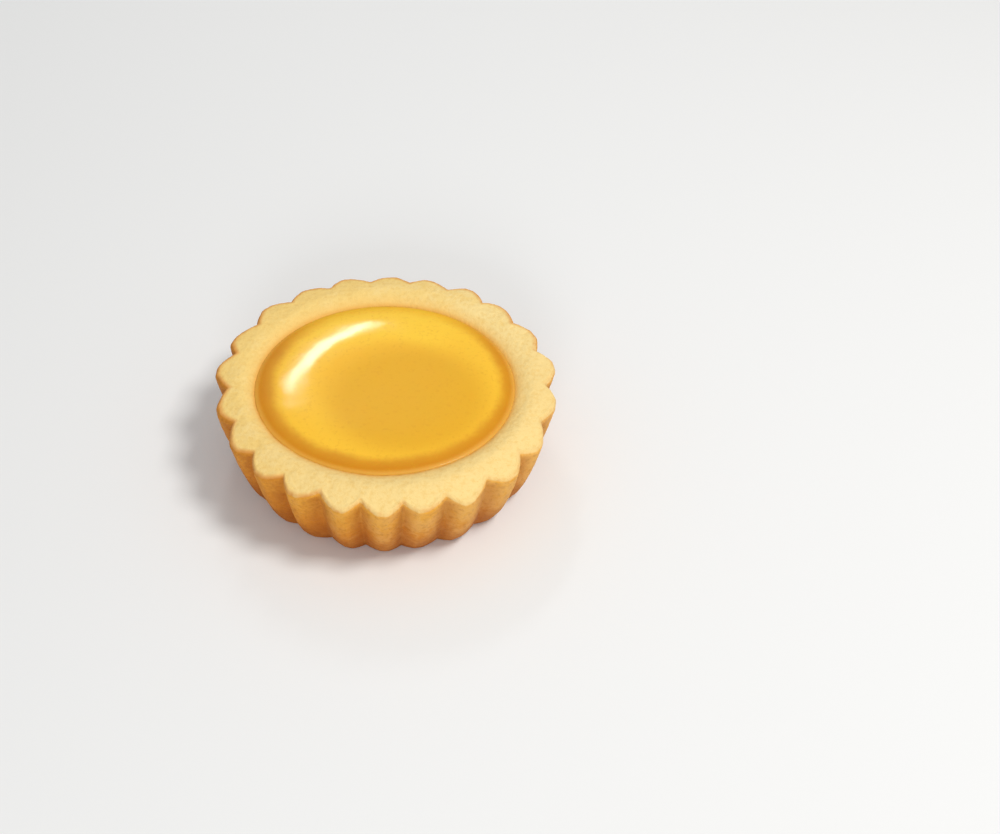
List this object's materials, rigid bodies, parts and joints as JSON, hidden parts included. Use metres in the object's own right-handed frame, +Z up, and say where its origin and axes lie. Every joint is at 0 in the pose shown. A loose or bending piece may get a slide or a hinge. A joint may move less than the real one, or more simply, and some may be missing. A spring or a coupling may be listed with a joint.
{
  "type": "egg tart",
  "caption": "Round egg tart: a fluted shortcrust case with a thick pale rim and browned sides, baked round a glossy, set egg custard.",
  "frame": {"origin": "centre of the flat base, at the level of the surface that the tart stands on", "axes": "+Z up through the custard; +X and +Y across, with the side that the reference view shows towards -Y"},
  "size_m": [0.0742, 0.0756, 0.0196],
  "materials": {
    "pastry": "baked shortcrust pastry: matt and finely crumbly, pale straw on the rim and golden brown where it touched the tin",
    "custard": "set egg custard: smooth, glossy and slightly translucent, bright egg yellow with an amber ring at its edge"
  },
  "bodies": {
    "root": {"crust": "pastry", "custard": "custard"}
  },
  "joints": []
}
